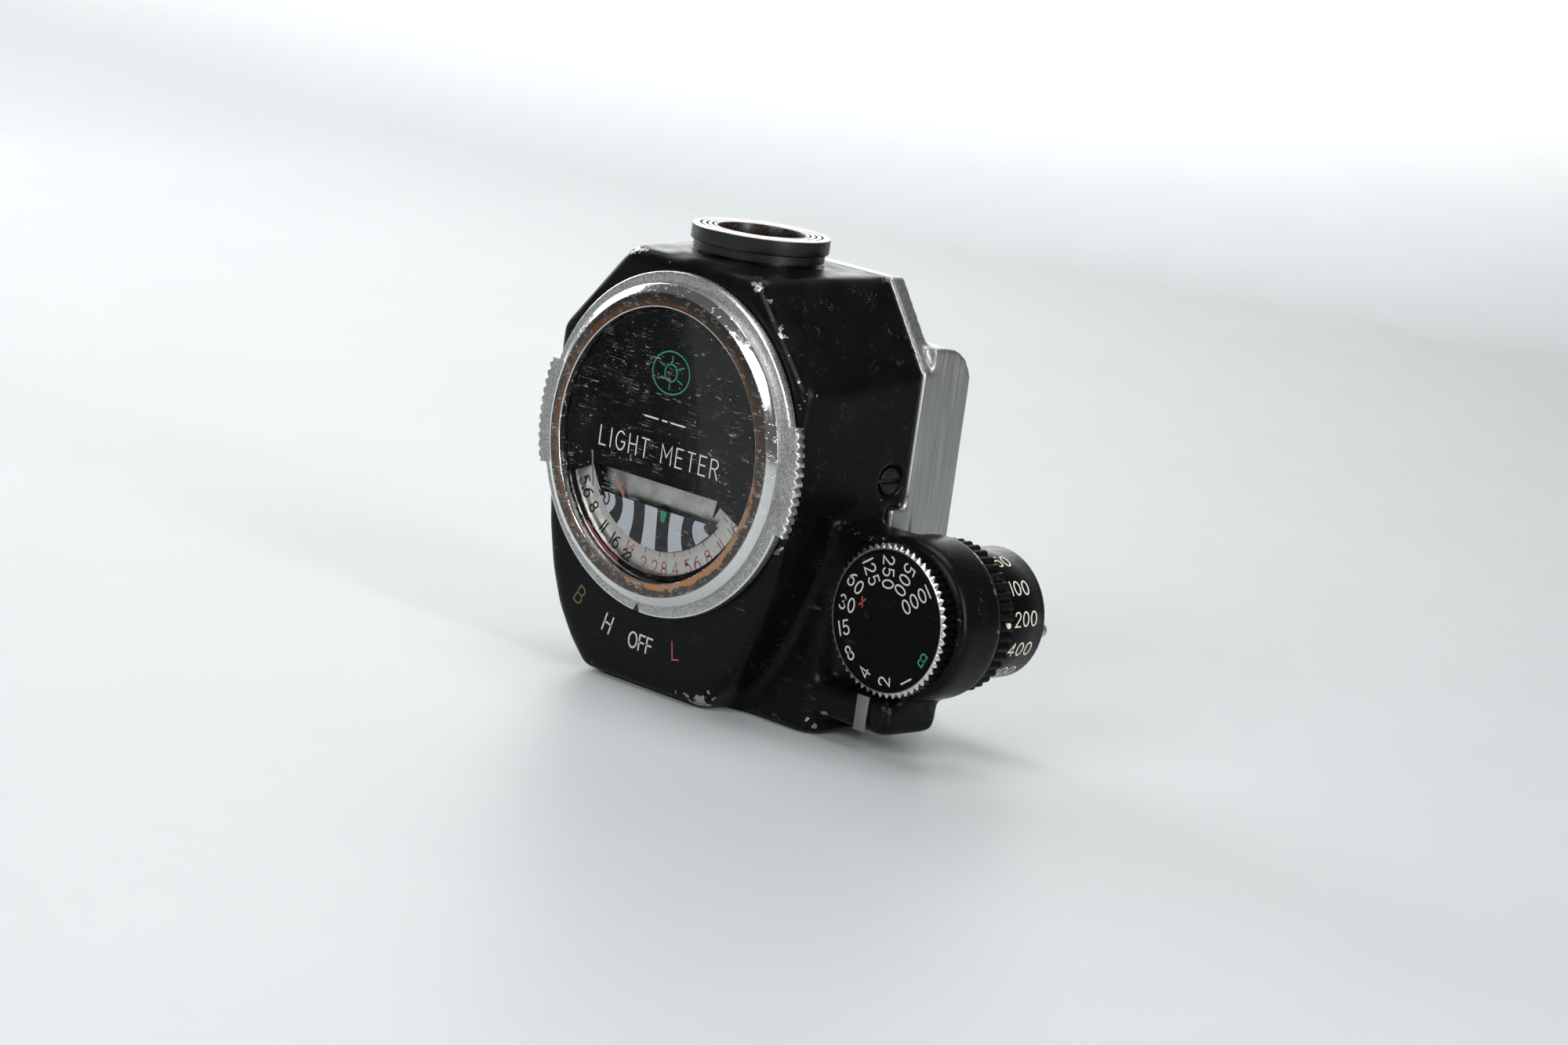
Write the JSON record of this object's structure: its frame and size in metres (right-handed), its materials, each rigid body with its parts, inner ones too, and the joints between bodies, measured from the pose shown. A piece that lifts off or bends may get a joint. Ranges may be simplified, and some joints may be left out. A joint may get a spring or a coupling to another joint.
{
  "type": "clip-on exposure meter",
  "caption": "Clip-on camera exposure meter: needle dial with range ring, light cell, geared shutter-speed dial with film-speed drum, and a saddle for the camera.",
  "frame": {"origin": "on the flat end that the meter stands on, under the axis of the light cell, in the housing's mid-plane", "axes": "+X towards the shutter-speed dial, -Y out of the big dial towards its reader, +Z towards the light cell"},
  "size_m": [0.0677, 0.0332, 0.0597],
  "materials": {
    "black_enamel": "semi-gloss black enamel, worn to bright metal at the edges",
    "satin_aluminium": "brushed satin",
    "chrome": "worn polished chrome over copper",
    "blasted_chrome": "sand-blasted",
    "brass": "machined",
    "steel": "plain",
    "magnet_steel": "ground",
    "clear_glass": "clear, finely scratched",
    "black_plastic": "matt black",
    "grey_print": "printed pale grey",
    "brown_board": "fibre board",
    "copper_wire": "enamelled wire",
    "needle_red": "painted",
    "resistor_tan": "moulded"
  },
  "bodies": {
    "meter_body": {"base_casting": "satin_aluminium", "base_screw_1": "steel", "base_screw_2": "steel", "base_screw_3": "steel", "base_screw_4": "steel", "battery": "steel", "battery_contact": "brass", "cds_cell": "brown_board", "cell_glass": "clear_glass", "cell_tube": "black_plastic", "cell_window_ring": "black_enamel", "chassis_plate": "steel", "clip_screw_left": "steel", "clip_screw_right": "steel", "dial_bezel": "chrome", "dial_glass": "clear_glass", "dial_mask": "black_plastic", "eyepiece_clip": "steel", "front_jewel": "brass", "hairspring": "brass", "housing": "black_enamel", "idler_pin": "steel", "index_strip": "steel", "iron_core": "steel", "jewel_bridge": "brass", "meter_magnet": "magnet_steel", "movement_frame": "black_plastic", "needle_backplate": "satin_aluminium", "range_board": "brown_board", "rear_jewel_screw": "brass", "resistor_high": "resistor_tan", "resistor_low": "resistor_tan", "shaft_bush": "brass", "side_screw_left": "steel", "side_screw_right": "steel", "stripe_plate": "grey_print", "switch_base": "brown_board", "trimmer": "black_plastic"},
    "selector": {"selector_ring": "blasted_chrome", "switch_wiper": "brass"},
    "film_speed_setting": {"film_speed_ring": "black_enamel", "drive_gear": "brass"},
    "speed_dial_group": {"speed_dial": "black_enamel", "speed_dial_plate": "black_enamel", "dial_shaft": "steel", "coupling_drum": "black_enamel", "coupling_pin": "steel"},
    "idler": {"idler_gear": "brass"},
    "f_number_scale": {"scale_disc": "grey_print", "scale_gear": "brass"},
    "pointer": {"moving_coil": "copper_wire", "needle": "needle_red"},
    "battery_door": {"battery_cover": "satin_aluminium"}
  },
  "joints": [
    {"name": "selector_turn", "type": "hinge", "parent": "meter_body", "child": "selector", "pos_m": [0, -0.012, 0.032], "axis": [0, -1, 0], "range_deg": [-27.3, 13.9]},
    {"name": "speed_turn", "type": "hinge", "parent": "meter_body", "child": "film_speed_setting", "pos_m": [0.034, 0.007, 0.01705], "axis": [0, -1, 0], "range_deg": [-72.5, 220.1]},
    {"name": "film_speed_set", "type": "hinge", "parent": "film_speed_setting", "child": "speed_dial_group", "pos_m": [0.034, 0.012, 0.01705], "axis": [0, -1, 0], "range_deg": [-79.8, 53.2]},
    {"name": "idler_turn", "type": "hinge", "parent": "meter_body", "child": "idler", "pos_m": [0.01963, 0.0008, 0.01619], "axis": [0, -1, 0], "range_deg": [-221, 73]},
    {"name": "scale_turn", "type": "hinge", "parent": "meter_body", "child": "f_number_scale", "pos_m": [0, -0.012, 0.032], "axis": [0, -1, 0], "range_deg": [-29.2, 88.2]},
    {"name": "needle_swing", "type": "hinge", "parent": "meter_body", "child": "pointer", "pos_m": [0, -0.006, 0.021], "axis": [0, -1, 0], "range_deg": [-109, 4], "stiffness_Nm_per_rad": 0.00002},
    {"name": "battery_cover_turn", "type": "hinge", "parent": "meter_body", "child": "battery_door", "pos_m": [0, 0.0114, 0.022], "axis": [0, 1, 0], "range_deg": [-60, 0]}
  ],
  "couplings": [
    {"joint": "scale_turn", "follows": "speed_turn", "ratio": 0.4},
    {"joint": "idler_turn", "follows": "speed_turn", "ratio": -1}
  ]
}
